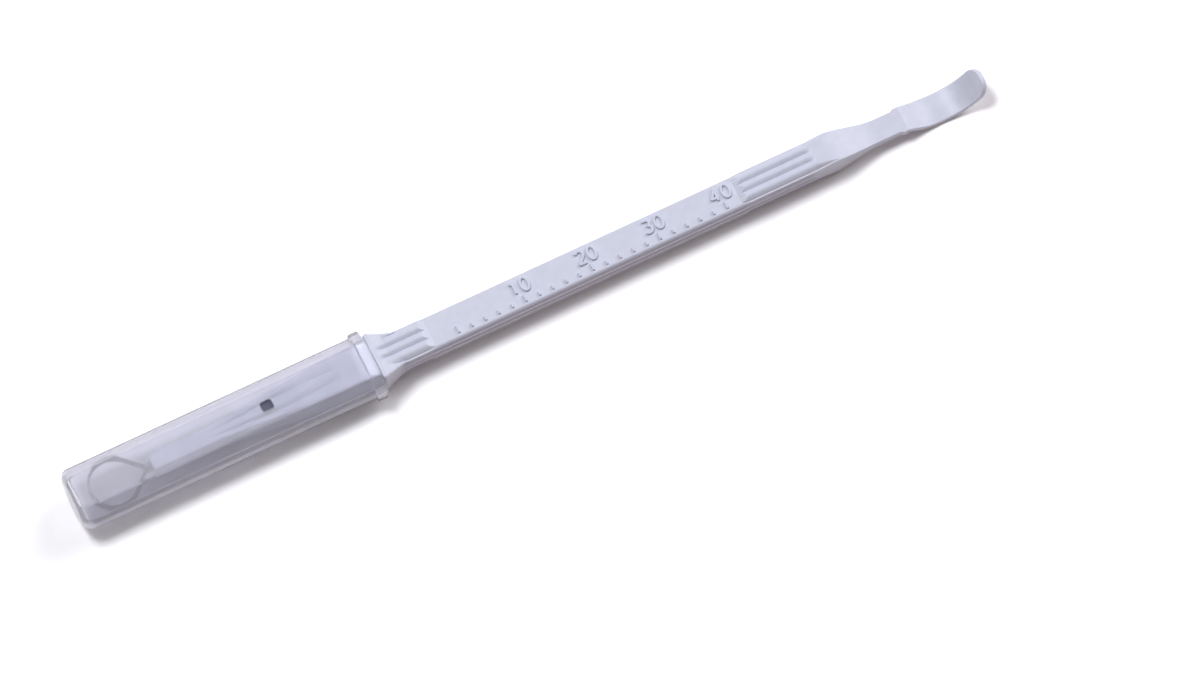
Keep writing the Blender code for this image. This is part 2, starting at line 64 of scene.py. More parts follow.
# Neck and block
NECK_FRONT = -32.75
GROOVES_FRONT = -24.75
BLOCK_FRONT = -5.3
NECK_WIDTH = 2.5
NECK_HEIGHT = 3.05
BLOCK_WIDTH = 5.2
BLOCK_HEIGHT = 4.7
NECK_ROUND = 0.18
NECK_GROOVE_DEPTH = 0.42
NECK_GROOVE_OFFSETS = (0.7, 1.0)
NECK_GROOVE_PHASES = (0.03, 0.9)
NECK_TOP_LEAD = 1.04

# Collar, flare and grip
COLLAR_WIDTH = 6.9
COLLAR_HEIGHT = 5.5
COLLAR_THICKNESS = 0.75
COLLAR_RIM = 0.28
FLARE_END_SIDE = 3.6
FLARE_END_FACE = 2.2
GRIP_END = 68.5
GRIP_WIDTHS = (4.75, 4.5)
PANEL_SIDE = 2.15
BACK_SIDE = 2.25
RIB_OFFSET = 0.65
RIB_DEPTH = 0.35
SIDE_RIB_OFFSET = 0.73
GROOVE_DEPTH = 0.33
FLANK_WIDTH = 0.75
FLANK_DEPTH = 0.56
LEDGE_WIDTH = 0.22
LEDGE_DEPTH = 0.55
LOWER_LIP = 0.1
CORNER_RADIUS = 0.3
FLANK_START = 0.2
LEAST_STEP = 0.05
PLAIN_STEP = 0.04
SIDE_FLUTES = (2.4, 65.4)
FACE_FLUTES = (0.6, 65.6)
FLUTE_RUN_OUT = 1.1
FLUTE_POINT = (1.1, 1.25)
FLUTE_CORNER_X = 3.9
FLUTE_FULL_X = 4.5
FLUTE_EDGE = 0.08
FLUTES_THIN_X = 64.0
PANEL = (8.4, 54.0)
PANEL_RAMP = 1.15
PANEL_DIP = 0.55
PANEL_EDGE = 0.36

# Waist and spatula
TAPER_START = 66.6
TAPER_LENGTH = 9.0
WIDTH_TAPER_TRIM = 1.2
BACK_TAPER_TRIM = (1.4, 1.8)
WAIST_WIDTH = 3.25
WAIST_TOP = 0.0
WAIST_THICKNESS = 1.22
SHOULDER_X = 78.2
SHOULDER_RAMP = 0.3
SHOULDER_WIDTH = 3.75
SPATULA_WIDTH = 4.22
SPATULA_SPREAD = 4.5
SPATULA_THICKNESS = 0.76
UNDERSIDE_START = 0.72
SPATULA_LOW = (84.3, -1.8)
SPATULA_ENTRY = math.radians(29)
SPATULA_TIP = math.radians(64)
SPATULA_RADIUS = 7.0
SPATULA_EDGE = 0.16
SPATULA_EDGE_LOSS = 0.9
SPATULA_CORNER = 1.9
KINK_RADIUS = 1.3
STEM_FADE = (0.3, 3.0)
STEM_INSET = 0.1

# Cap
CAP_END_X = -44.45
CAP_MOUTH_X = -0.05
CAP_WIDTH = 8.7
CAP_HEIGHT = 5.92
CAP_TOP_FLAT = 4.8
CAP_CORNER = 0.45
CAVITY_WIDTH = 7.4
CAVITY_HEIGHT = 4.82
CAVITY_TOP_FLAT = 4.8535
CAVITY_CORNER = 0.3
CAP_END_WALL = 0.7
CAP_END_ROUND = (1.4, 0.55)
CAVITY_END_ROUND = (1.0, 0.4)
FLAT_SHRINK = 0.82
END_FLAT_GROWTH = 0.36
MOUTH_ROUND = 0.08
FLANGE_LENGTH = 1.55
FLANGE_PROUD = 0.45
FLANGE_ROUND = 0.3
FLANGE_KEEP = 0.04
FLANGE_FILLET = 0.1
VENT_AT = (-15.65, 0.0)
VENT_SIZE = (1.7, 1.4, 0.35)
VENT_CUT_PAST = (0.4, 0.5)
# Height, thickness and margin of the dark piece under the vent, whose colour is painted shade
VENT_FLOOR = 2.5
VENT_FLOOR_THICKNESS = 0.08
VENT_FLOOR_MARGIN = 0.01
CAP_SHARP_ANGLE = 30

# Raised scale on the panel
SCALE_START = 12.0
SCALE_STEPS = 20
SCALE_PITCH = 2.0
TICKS_PER_FIGURE = 5
TICK_START_Y = -1.75
TICK_LENGTHS = (1.15, 0.7)
TICK_WIDTH = 0.32
FIGURE_SIZE = 0.93
FIGURE_SHIFTS = (-1.4, 0.25)
FIGURE_Y = -0.25
RELIEF_HEIGHT = 0.32
RELIEF_WIDTH = 0.42
BEAD_POWER = 0.5
BEAD_SUNK = 0.1
BEAD_END = 0.02

# Table: half its side in metres, its points along a side, and the colours that it lights and shows with
TABLE_REACH = 2.0
TABLE_POINTS = 9
TABLE_LIT = (0.97, 0.86, 0.84, 1.0)
TABLE_SHOWN = (1.2, 1.2, 1.2, 1.0)

MM = 0.001


# Placing and mesh making

def place(points):
    """Turns (..., 3) millimetres on the handle's axis into the frame's metres: a dip about y, then a
    shift."""
    x, y, z = points[..., 0], points[..., 1], points[..., 2]
    cos, sin = math.cos(REST_TILT), math.sin(REST_TILT)
    turned = np.stack([x * cos + z * sin, y, z * cos - x * sin], axis=-1)
    return (turned + np.array(COLLAR_AT)) * MM


def ramp(value, start, end):
    """0 before start, 1 after end, and a straight line between."""
    return np.clip((value - start) / (end - start), 0.0, 1.0)


def smooth(value, start, end):
    """The ramp t turned into the S-curve t * t * (3 - 2 t)."""
    t = ramp(value, start, end)
    return t * t * (3 - 2 * t)


def mix(a, b, t):
    """a where t is 0, b where t is 1, and a straight blend between."""
    return a + (b - a) * t


def tube_faces(rings, around):
    """Quads between neighbouring rings of points, where each ring closes around itself."""
    row, column = np.meshgrid(np.arange(rings - 1), np.arange(around), indexing="ij")
    beside = (column + 1) % around
    after = row + 1
    quads = np.stack([row * around + column, row * around + beside,
                      after * around + beside, after * around + column], axis=-1)
    return quads.reshape(-1, 4)


def signed_volume(points, quads):
    """Sum over the quads of the tetrahedra to the origin: negative where faces point inwards."""
    a, b, c, d = (points[quads[:, k]] for k in range(4))
    first = np.einsum("ij,ij->i", a, np.cross(b, c))
    second = np.einsum("ij,ij->i", a, np.cross(c, d))
    return (first + second).sum()


def add_mesh(name, points, faces, material, body, sharp_angle=40):
    """A smooth-shaded piece, sharp where faces meet at more than sharp_angle degrees; it rides on body."""
    mesh = bpy.data.meshes.new(name)
    mesh.from_pydata(points.tolist(), [], [list(face) for face in faces])
    mesh.materials.append(material)
    mesh.shade_smooth()
    mesh.set_sharp_from_angle(angle=math.radians(sharp_angle))
    piece = bpy.data.objects.new(name, mesh)
    bpy.context.collection.objects.link(piece)
    if body:
        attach(piece, body)
    return piece


def add_loft(name, rings, material, body, sharp_angle=40):
    """A closed skin through (N, M, 3) rings, each end closed by a fan round its ring's middle."""
    count, around = rings.shape[:2]
    points = place(rings.reshape(-1, 3))
    quads = tube_faces(count, around)
    if signed_volume(points - points.mean(axis=0), quads) < 0:
        quads = quads[:, ::-1]
    grid = points.reshape(count, around, 3)
    ends = [grid[0].mean(axis=0), grid[-1].mean(axis=0)]
    step = np.arange(around)
    beside = (step + 1) % around
    last = (count - 1) * around
    low = np.stack([np.full(around, count * around), step, beside], axis=1)
    high = np.stack([np.full(around, count * around + 1), last + step, last + beside], axis=1)
    along = grid[1].mean(axis=0) - grid[0].mean(axis=0)
    normal = np.cross(grid[0, 0] - ends[0], grid[0, 1] - ends[0])
    if normal @ along > 0:
        low = low[:, ::-1]
    else:
        high = high[:, ::-1]
    points = np.concatenate([points, ends])
    faces = quads.tolist() + low.tolist() + high.tolist()
    return add_mesh(name, points, faces, material, body, sharp_angle)


# Materials

CAP_SHADOW = 0.7


def node(tree, kind, place_at, **values):
    """A new node at its place in the editor, with the settings given by name."""
    made = tree.nodes.new(kind)
    made.location = place_at
    for key, value in values.items():
        setattr(made, key, value)
    return made


def new_material(name, **sockets):
    """A Principled material whose constants sit on the shader's own sockets."""
    material = bpy.data.materials.new(name)
    material.use_nodes = True
    tree = material.node_tree
    shader = tree.nodes["Principled BSDF"]
    for key, value in sockets.items():
        shader.inputs[key.replace("_", " ")].default_value = value
    return material, tree, shader


def add_grain(tree, shader, scale, strength, distance, detail=3.0, squeeze=(1.0, 1.0, 1.0)):
    """Bump from noise on Object coordinates, squeezed along each axis by its number in squeeze."""
    coordinates = node(tree, "ShaderNodeTexCoord", (-1200, -300))
    mapping = node(tree, "ShaderNodeMapping", (-1000, -300))
    mapping.inputs["Scale"].default_value = squeeze
    noise = node(tree, "ShaderNodeTexNoise", (-800, -300))
    noise.inputs["Scale"].default_value = scale
    noise.inputs["Detail"].default_value = detail
    bump = node(tree, "ShaderNodeBump", (-500, -300))
    bump.inputs["Strength"].default_value = strength
    bump.inputs["Distance"].default_value = distance
    tree.links.new(coordinates.outputs["Object"], mapping.inputs["Vector"])
    tree.links.new(mapping.outputs["Vector"], noise.inputs["Vector"])
    tree.links.new(noise.outputs["Fac"], bump.inputs["Height"])
    tree.links.new(bump.outputs["Normal"], shader.inputs["Normal"])
    return noise


def add_tint(tree, shader, noise, low, high):
    """Base colour that drifts with the noise from the tone low to the tone high."""
    tones = node(tree, "ShaderNodeValToRGB", (-500, 100))
    tones.color_ramp.elements[0].position = 0.35
    tones.color_ramp.elements[0].color = (*low, 1.0)
    tones.color_ramp.elements[1].position = 0.65
    tones.color_ramp.elements[1].color = (*high, 1.0)
    tree.links.new(noise.outputs["Fac"], tones.inputs["Fac"])
    tree.links.new(tones.outputs["Color"], shader.inputs["Base Color"])


def white_plastic():
    """Satin injection-moulded plastic: a cool white with a fine cast grain."""
    material, tree, shader = new_material("white_plastic", Roughness=0.42, IOR=1.5)
    noise = add_grain(tree, shader, scale=900.0, strength=0.06, distance=0.0004)
    add_tint(tree, shader, noise, low=(0.60, 0.62, 0.725), high=(0.63, 0.65, 0.755))
    return material


def stainless_steel():
    """Rolled strip: dark, softly mirroring metal with faint lines along the strip."""
    material, tree, shader = new_material("stainless_steel", Metallic=1.0, Roughness=0.3)
    noise = add_grain(tree, shader, scale=500.0, strength=0.12, distance=0.0003,
                      squeeze=(1.0, 1.0, 8.0))
    add_tint(tree, shader, noise, low=(0.07, 0.075, 0.09), high=(0.16, 0.165, 0.185))
    return material


def frosted_cap():
    """Hazy moulding: most of the light goes blurred through each wall, and the rest scatters in it. Shadow
    rays lose CAP_SHADOW of their light at each surface, so that the lamps reach the blade and the neck."""
    material, tree, shader = new_material("frosted_cap", Roughness=0.17, IOR=1.45,
                                          Transmission_Weight=0.74)
    path = node(tree, "ShaderNodeLightPath", (-800, 300))
    shade = node(tree, "ShaderNodeMath", (-300, -100), operation="MULTIPLY_ADD")
    shade.inputs[1].default_value = CAP_SHADOW - 1.0
    shade.inputs[2].default_value = 1.0
    tree.links.new(path.outputs["Is Shadow Ray"], shade.inputs[0])
    tree.links.new(shade.outputs[0], shader.inputs["Alpha"])
    noise = add_grain(tree, shader, scale=260.0, strength=0.08, distance=0.0005, detail=2.0)
    add_tint(tree, shader, noise, low=(0.83, 0.83, 0.9), high=(0.87, 0.87, 0.94))
    return material


def painted_shade_plastic():
    """Painted shade: a nearly black plastic for a piece under the vent, which stands in for the shade
    inside the hole.
    """
    material, tree, shader = new_material("painted_shade_plastic", Roughness=0.6)
    noise = add_grain(tree, shader, scale=900.0, strength=0.06, distance=0.0004)
    add_tint(tree, shader, noise, low=(0.075, 0.078, 0.125), high=(0.09, 0.094, 0.145))
    return material


def table_top():
    """Diffuse white that camera, glossy and transmission rays see a little brighter than it lights."""
    material = bpy.data.materials.new("table_top")
    material.use_nodes = True
    tree = material.node_tree
    tree.nodes.remove(tree.nodes["Principled BSDF"])
    output = tree.nodes["Material Output"]
    path = node(tree, "ShaderNodeLightPath", (-800, 200))
    seen = node(tree, "ShaderNodeMath", (-600, 200), operation="ADD", use_clamp=True)
    seen_too = node(tree, "ShaderNodeMath", (-400, 200), operation="ADD", use_clamp=True)
    lit = node(tree, "ShaderNodeBsdfDiffuse", (-400, -50))
    lit.inputs["Color"].default_value = TABLE_LIT
    shown = node(tree, "ShaderNodeBsdfDiffuse", (-400, -250))
    shown.inputs["Color"].default_value = TABLE_SHOWN
    blend = node(tree, "ShaderNodeMixShader", (-100, 50))
    tree.links.new(path.outputs["Is Camera Ray"], seen.inputs[0])
    tree.links.new(path.outputs["Is Glossy Ray"], seen.inputs[1])
    tree.links.new(seen.outputs[0], seen_too.inputs[0])
    tree.links.new(path.outputs["Is Transmission Ray"], seen_too.inputs[1])
    tree.links.new(seen_too.outputs[0], blend.inputs[0])
    tree.links.new(lit.outputs[0], blend.inputs[1])
    tree.links.new(shown.outputs[0], blend.inputs[2])
    tree.links.new(blend.outputs[0], output.inputs["Surface"])
    return material


# Handle: a section carried along its axis, all of whose faces and corners have the same counts of points

SEGMENT_STEPS = 12
CORNER_STEPS = 13
EDGE_STEPS = 4
FLANK_POWER = 1.9
CREASE_POWER = 1.7
CREASE_REACH = 0.62
CREASE_ROOM = 0.93
LEAST_CREASE = 0.02


def arc_corner(half, top, leg):
    """(N, K, 2) points: a quarter circle of radius leg."""
    angle = np.linspace(0.0, math.pi / 2, CORNER_STEPS)[None, :]
    leg = leg[:, None]
    across = half[:, None] - leg * (1 - np.sin(angle))
    return np.stack([across, top[:, None] - leg * (1 - np.cos(angle))], axis=-1)


def rib_corner(half, top, edge, inner, crease, drop, ledge):
    """(N, K, 2) points: a rib's flank falls from inner to crease by drop times the way to FLANK_POWER.
    The surface then steps up to the ledge, which lies that far below the top, and rounds into the side."""
    way = np.linspace(0.0, 1.0, CORNER_STEPS - EDGE_STEPS - 1)[None, :]
    flank_across = mix(inner[:, None], crease[:, None], way)
    flank_up = top[:, None] - drop[:, None] * way ** FLANK_POWER
    step_across = mix(crease, half - edge, 0.5)[:, None]
    angle = np.linspace(0.0, math.pi / 2, EDGE_STEPS)[None, :]
    level = (top - ledge)[:, None]
    turn_across = half[:, None] - edge[:, None] * (1 - np.sin(angle))
    turn_up = level - edge[:, None] * (1 - np.cos(angle))
    across = np.concatenate([flank_across, step_across, turn_across], axis=1)
    return np.stack([across, np.concatenate([flank_up, level, turn_up], axis=1)], axis=-1)


def plain_corner(half, top):
    """A corner without a flute: level as far as the edge's quarter circle."""
    edge = np.full_like(half, CORNER_RADIUS)
    level_end = half - edge - PLAIN_STEP
    none = np.zeros_like(half)
    return rib_corner(half, top, edge, level_end - FLANK_START, level_end, none, none)


def face_line(reach, offset, depth):
    """(N, K) places across a face and their drops: ribs that meet in a crease at +-offset, where the drop
    is depth times (1 - distance / width) to CREASE_POWER."""
    centre = np.minimum(offset, reach * CREASE_REACH)[:, None]
    reach = reach[:, None]
    way = np.linspace(0.0, 1.0, SEGMENT_STEPS + 1)[None, :]
    near, far = centre * way, mix(centre, reach, way)
    across = np.concatenate([-far[:, ::-1], -near[:, -2:0:-1], near, far[:, 1:]], axis=1)
    width = np.minimum(centre, (reach - centre) * CREASE_ROOM)
    away = np.abs(np.abs(across) - centre) / np.maximum(width, LEAST_CREASE)
    return across, depth[:, None] * np.clip(1 - away, 0.0, 1.0) ** CREASE_POWER


def section(half, top, back, top_corner, back_corner, face_depth, side_depth, offset, side_offset):
    """(N, M, 2) outlines of four faces and four corners, clockwise from the panel side's left end."""
    middle = (top + back) / 2
    side_reach = np.minimum(top_corner[:, -1, 1] - middle, middle + back_corner[:, -1, 1])
    face_u, face_d = face_line(top_corner[:, 0, 0], offset, face_depth)
    side_u, side_d = face_line(side_reach, side_offset, side_depth)
    back_u, back_d = face_line(back_corner[:, 0, 0], offset, side_depth)
    half, top, back, middle = (v[:, None] for v in (half, top, back, middle))

    def pair(across, up):
        """(N, M, 2) points out of two (N, M) arrays."""
        return np.stack([across, up], axis=-1)

    right = pair(half - side_d, middle - side_u)
    left = pair(-half + side_d, middle + side_u)
    flipped = top_corner * [-1, 1]
    under = back_corner * [1, -1]
    return np.concatenate([
        pair(face_u, top - face_d), top_corner, right, under[:, ::-1],
        pair(-back_u, back + back_d), under * [-1, 1], left, flipped[:, ::-1],
    ], axis=1)


def straight_rings(x, outline):
    """Section outlines set upright at x along the axis, with across turned into -y and up into z."""
    place_x = np.broadcast_to(x[:, None], outline.shape[:2])
    return np.stack([place_x, -outline[..., 0], outline[..., 1]], axis=-1)


def neck_rings():
    """The neck's rounded front, its straight run, its S-shaped spread to the block, and the block."""
    turn = np.linspace(0.0, math.pi / 2, 5)
    front_inset = NECK_ROUND * (1 - np.sin(turn))
    front_x = NECK_FRONT + NECK_ROUND * (1 - np.cos(turn))
    spread_x = np.concatenate([np.linspace(NECK_FRONT + 0.4, GROOVES_FRONT - 0.2, 5),
                               np.linspace(GROOVES_FRONT, BLOCK_FRONT - 0.1, 60)])
    x = np.concatenate([front_x, spread_x])
    inset = np.concatenate([front_inset, np.zeros_like(spread_x)])
    grow = smooth(x, GROOVES_FRONT - 1.0, BLOCK_FRONT + 1.0)
    half = mix(NECK_WIDTH, BLOCK_WIDTH, grow) / 2 - inset
    top = mix(NECK_HEIGHT, BLOCK_HEIGHT, np.minimum(1.0, grow * NECK_TOP_LEAD)) / 2 - inset
    t = ramp(x, GROOVES_FRONT, BLOCK_FRONT - 0.1)
    phase = mix(*NECK_GROOVE_PHASES, t)
    depth = NECK_GROOVE_DEPTH * np.sin(math.pi * phase) * (x >= GROOVES_FRONT - 0.1)
    offset = mix(*NECK_GROOVE_OFFSETS, np.sin(math.pi * t))
    corner = plain_corner(half, top)
    neck = section(half, top, -top, corner, corner, depth, depth, offset, offset)
    block_x = np.array([BLOCK_FRONT, BLOCK_FRONT / 2, 0.0])
    block_half = np.full(3, BLOCK_WIDTH / 2)
    block_top = np.full(3, BLOCK_HEIGHT / 2)
    corner = plain_corner(block_half, block_top)
    none, spread = np.zeros(3), np.full(3, RIB_OFFSET)
    block = section(block_half, block_top, -block_top, corner, corner, none, none, spread, spread)
    return np.concatenate([straight_rings(x, neck), straight_rings(block_x, block)])


def collar_rings():
    """The collar's front face and rounded rim: a quarter circle in front and an eighth behind."""
    front = np.linspace(0.0, math.pi / 2, 7)
    behind = np.linspace(0.0, math.pi / 4, 4)[1:]
    x = np.concatenate([COLLAR_RIM * (1 - np.cos(front)),
                        COLLAR_THICKNESS - COLLAR_RIM * (1 - np.sin(behind))])
    inset = np.concatenate([COLLAR_RIM * (1 - np.sin(front)), COLLAR_RIM * (1 - np.cos(behind))])
    half = COLLAR_WIDTH / 2 - inset
    top = COLLAR_HEIGHT / 2 - inset
    corner = plain_corner(half, top)
    none, spread = np.zeros_like(x), np.full_like(x, RIB_OFFSET)
    return straight_rings(x, section(half, top, -top, corner, corner, none, none, spread, spread))


def flute_corner(half, up, x, drop, ledge, keep, soft=0.0):
    """The outer rib's corner. Its flank starts in a point on the flare and deepens with the way to the
    power 1.3, its ledge with the square of the way, and with keep at 0 both close again. With soft at 1
    the edge to the side has the panel's radius."""
    grow = ramp(x, FLUTE_POINT[0], FLUTE_CORNER_X)
    edge = mix(mix(CORNER_RADIUS, FLUTE_EDGE, grow), PANEL_EDGE, soft)
    rib_end = GRIP_WIDTHS[0] / 2 - FLANK_WIDTH - CORNER_RADIUS
    inner = mix(FLUTE_POINT[1], rib_end, ramp(x, FLUTE_POINT[0], FLARE_END_SIDE))
    crease = mix(FLUTE_POINT[1] + FLANK_START, half - LEDGE_WIDTH, grow)
    crease = np.minimum(crease, half - edge - LEAST_STEP)
    inner = mix(crease - LEAST_STEP, inner, keep)
    return rib_corner(half, up, edge, inner, crease, drop * grow ** 1.3,
                      ledge * ramp(x, FLUTE_POINT[0], FLUTE_FULL_X) ** 2)


def grip_rings():
    """Flare, fluted grip with its panel, taper and waist, as far as the kink. The panel is where a flat
    ceiling with sloping ends cuts the ribs down to the ledges' level, and a lip runs along each side's
    lower edge."""
    left, right = PANEL[0] - PANEL_RAMP, PANEL[1] + PANEL_RAMP
    taper_end = TAPER_START + TAPER_LENGTH
    shoulder = (SHOULDER_X - SHOULDER_RAMP, SHOULDER_X + SHOULDER_RAMP)
    x = np.concatenate([
        np.linspace(FLUTE_POINT[0], FLUTE_FULL_X, 36), np.linspace(FLUTE_FULL_X + 0.2, left - 0.1, 6),
        np.linspace(left, PANEL[0], 24), np.linspace(PANEL[0] + 0.05, PANEL[1] - 0.05, 44),
        np.linspace(PANEL[1], right, 24), np.linspace(right + 0.1, FLUTES_THIN_X, 8),
        np.linspace(FLUTES_THIN_X + 0.2, TAPER_START + 0.2, 20),
        np.linspace(TAPER_START + 0.4, taper_end + 0.1, 44),
        np.linspace(taper_end + 0.3, shoulder[0] - 0.1, 4), np.linspace(*shoulder, 7), [kink_start()]])
    run = FLUTE_RUN_OUT
    width = mix(GRIP_WIDTHS[0], GRIP_WIDTHS[1], ramp(x, FLARE_END_SIDE, GRIP_END))
    width = mix(width, COLLAR_WIDTH - COLLAR_RIM, 1 - ramp(x, COLLAR_THICKNESS, FLARE_END_SIDE))
    flare = 1 - ramp(x, COLLAR_THICKNESS, FLARE_END_FACE)
    collar_half = (COLLAR_HEIGHT - COLLAR_RIM) / 2
    panel = ramp(x, left, PANEL[0]) - ramp(x, PANEL[1], right)
    ceiling = np.where(panel > 0, PANEL_SIDE - PANEL_DIP * panel, COLLAR_HEIGHT)
    top = mix(PANEL_SIDE, collar_half, flare)
    back = mix(-BACK_SIDE, -collar_half, flare)
    top = mix(top, WAIST_TOP, smooth(x, TAPER_START, taper_end))
    back_taper = smooth(x, TAPER_START + BACK_TAPER_TRIM[0], taper_end - BACK_TAPER_TRIM[1])
    back = mix(back, WAIST_TOP - WAIST_THICKNESS, back_taper)
    width = mix(width, WAIST_WIDTH, smooth(x, TAPER_START + WIDTH_TAPER_TRIM, taper_end))
    width = width + (SHOULDER_WIDTH - WAIST_WIDTH) * smooth(x, *shoulder)
    half = width / 2

    face_on = ramp(x, FACE_FLUTES[0], FACE_FLUTES[0] + run)
    face_off = 1 - ramp(x, FACE_FLUTES[1] - run, FACE_FLUTES[1])
    face_depth = RIB_DEPTH * np.minimum(face_on, face_off)
    side_on = ramp(x, SIDE_FLUTES[0], SIDE_FLUTES[0] + run)
    side_off = 1 - ramp(x, SIDE_FLUTES[1] - run, SIDE_FLUTES[1])
    side_depth = GROOVE_DEPTH * np.minimum(side_on, side_off)

    keep = 1 - ramp(x, SIDE_FLUTES[1], GRIP_END)
    top_drop = mix(FLANK_DEPTH, LEDGE_DEPTH, panel) * keep
    top_corner = flute_corner(half, top, x, top_drop, LEDGE_DEPTH * keep, keep, panel)
    lip = LOWER_LIP * ramp(x, FLUTE_CORNER_X, FLUTE_FULL_X) * keep
    back_corner = flute_corner(half + lip, -back, x, FLANK_DEPTH * keep, LEDGE_DEPTH * keep, keep)
    outline = section(half, top, back, top_corner, back_corner, face_depth, side_depth,
                      np.full_like(x, RIB_OFFSET), np.full_like(x, SIDE_RIB_OFFSET))
    outline[..., 1] = np.minimum(outline[..., 1], ceiling[:, None])
    return straight_rings(x, outline)


def scoop_start():
    """(x, z) where the straight slope meets the scoop's arc."""
    return (SPATULA_LOW[0] - SPATULA_RADIUS * math.sin(SPATULA_ENTRY),
            SPATULA_LOW[1] + SPATULA_RADIUS * (1 - math.cos(SPATULA_ENTRY)))


def slope_drop():
    """How far the straight slope between the kink's arc and the scoop's arc falls."""
    return WAIST_TOP - KINK_RADIUS * (1 - math.cos(SPATULA_ENTRY)) - scoop_start()[1]


def kink_start():
    """Where the waist ends, so that the kink's arc, the straight slope and the scoop's arc meet."""
    slope_length = slope_drop() / math.tan(SPATULA_ENTRY)
    return scoop_start()[0] - slope_length - KINK_RADIUS * math.sin(SPATULA_ENTRY)


def spatula_path():
    """x, z, slope angle and run along the upper face: the slopes of small steps summed up from the kink.
    Each piece has a length, its first and last slope and its number of steps."""
    corner_start = SPATULA_TIP - SPATULA_CORNER / SPATULA_RADIUS
    pieces = ((KINK_RADIUS * SPATULA_ENTRY, 0.0, -SPATULA_ENTRY, 10),
              (slope_drop() / math.sin(SPATULA_ENTRY), -SPATULA_ENTRY, -SPATULA_ENTRY, 6),
              (SPATULA_RADIUS * (SPATULA_ENTRY + corner_start), -SPATULA_ENTRY, corner_start, 44),
              (SPATULA_CORNER, corner_start, SPATULA_TIP, 26))
    steps = np.concatenate([np.full(n, length / n) for length, _, _, n in pieces])
    angle = np.concatenate([np.linspace(a, b, 2 * n + 1)[1::2] for _, a, b, n in pieces])
    after = np.concatenate([np.linspace(a, b, n + 1)[1:] for _, a, b, n in pieces])
    x = kink_start() + np.cumsum(steps * np.cos(angle))
    z = WAIST_TOP + np.cumsum(steps * np.sin(angle))
    return x, z, after, np.cumsum(steps)


def spatula_rings():
    """A thin curved plate with round end corners, and under its root a stem that thins out."""
    x, z, angle, run = spatula_path()
    to_end = np.maximum(run[-1] - run, 0.0)
    width = mix(SHOULDER_WIDTH, SPATULA_WIDTH, smooth(run, 0.0, SPATULA_SPREAD))
    short = np.maximum(SPATULA_CORNER - to_end, 0.0)
    half = width / 2 - (SPATULA_CORNER - np.sqrt(SPATULA_CORNER ** 2 - short ** 2))
    stem = 1 - smooth(run, *STEM_FADE)
    depth = mix(SPATULA_THICKNESS, WAIST_THICKNESS, stem)
    near_end = np.maximum(SPATULA_EDGE - to_end, 0.0)
    inset = SPATULA_EDGE - np.sqrt(SPATULA_EDGE ** 2 - near_end ** 2)
    half = half - inset
    top, back = -inset, -depth + inset
    none = np.zeros_like(x)
    edge = np.full_like(x, SPATULA_EDGE) - inset * SPATULA_EDGE_LOSS
    spread = np.full_like(x, RIB_OFFSET)
    outline = section(half, top, back, arc_corner(half, top, edge), arc_corner(half, -back, edge),
                      none, none, spread, spread)
    below = ramp(top[:, None] - outline[..., 1], SPATULA_THICKNESS * UNDERSIDE_START, SPATULA_THICKNESS)
    stem_half = mix(width / 2, WAIST_WIDTH / 2 - STEM_INSET, stem)
    limit = mix(half[:, None], np.minimum(stem_half, half)[:, None], below)
    limit = np.where(stem[:, None] > 0, limit, half[:, None])
    across = np.clip(outline[..., 0], -limit, limit)
    up = outline[..., 1]
    sin, cos = np.sin(angle)[:, None], np.cos(angle)[:, None]
    return np.stack([x[:, None] - sin * up, -across, z[:, None] + cos * up], axis=-1)


def build_handle(material):
    """Neck, block, collar, grip and spatula as one skin."""
    rings = np.concatenate([neck_rings(), collar_rings(), grip_rings(), spatula_rings()])
    handle = add_loft("handle_skin", rings, material, "instrument", sharp_angle=38)
    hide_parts("handle")


# Ring blade: a strip's section carried along its loop

def strip_path():
    """(N, 2) middle line: a leg out of the neck, a tangent to the loop's circle, the circle, and back."""
    radius = (RING_DIAMETER - STRIP_THICKNESS) / 2
    pinch = (LEG_GAP + STRIP_THICKNESS) / 2
    reach = math.hypot(PINCH_X - RING_CENTRE_X, pinch)
    opening = math.acos(radius / reach) + math.atan2(pinch, PINCH_X - RING_CENTRE_X)
    leg_x = np.concatenate([np.linspace(NECK_FRONT + LEG_DEPTH, NECK_FRONT - 0.1, 4),
                            np.linspace(PINCH_X + 0.7, PINCH_X, 9)])
    leg_y = mix(pinch, LEG_SPREAD, smooth(leg_x, PINCH_X + 0.1, NECK_FRONT))
    touch = (RING_CENTRE_X + radius * math.cos(opening), radius * math.sin(opening))
    t = np.linspace(0.0, 1.0, 7)[1:-1]
    straight = np.stack([mix(PINCH_X, touch[0], t), mix(pinch, touch[1], t)], axis=1)
    angle = np.linspace(opening, 2 * math.pi - opening, 150)
    loop = np.stack([RING_CENTRE_X + radius * np.cos(angle), radius * np.sin(angle)], axis=1)
    half = np.concatenate([np.stack([leg_x, leg_y], axis=1), straight])
    return np.concatenate([half, loop, half[::-1] * [1, -1]])


def strip_section():
    """(M, 2) outward and up: flat outside, softened edges, the lower edge ground from the inside."""
    half, top, soft = STRIP_THICKNESS / 2, STRIP_HEIGHT / 2, STRIP_SOFT
    return np.array([(half, top - soft), (half, -top + EDGE_TIP[1]), (half - EDGE_TIP[0], -top),
                     (half - soft, -top), (-half, -top + EDGE_BEVEL), (-half, top - soft),
                     (-half + soft, top), (half - soft, top)])


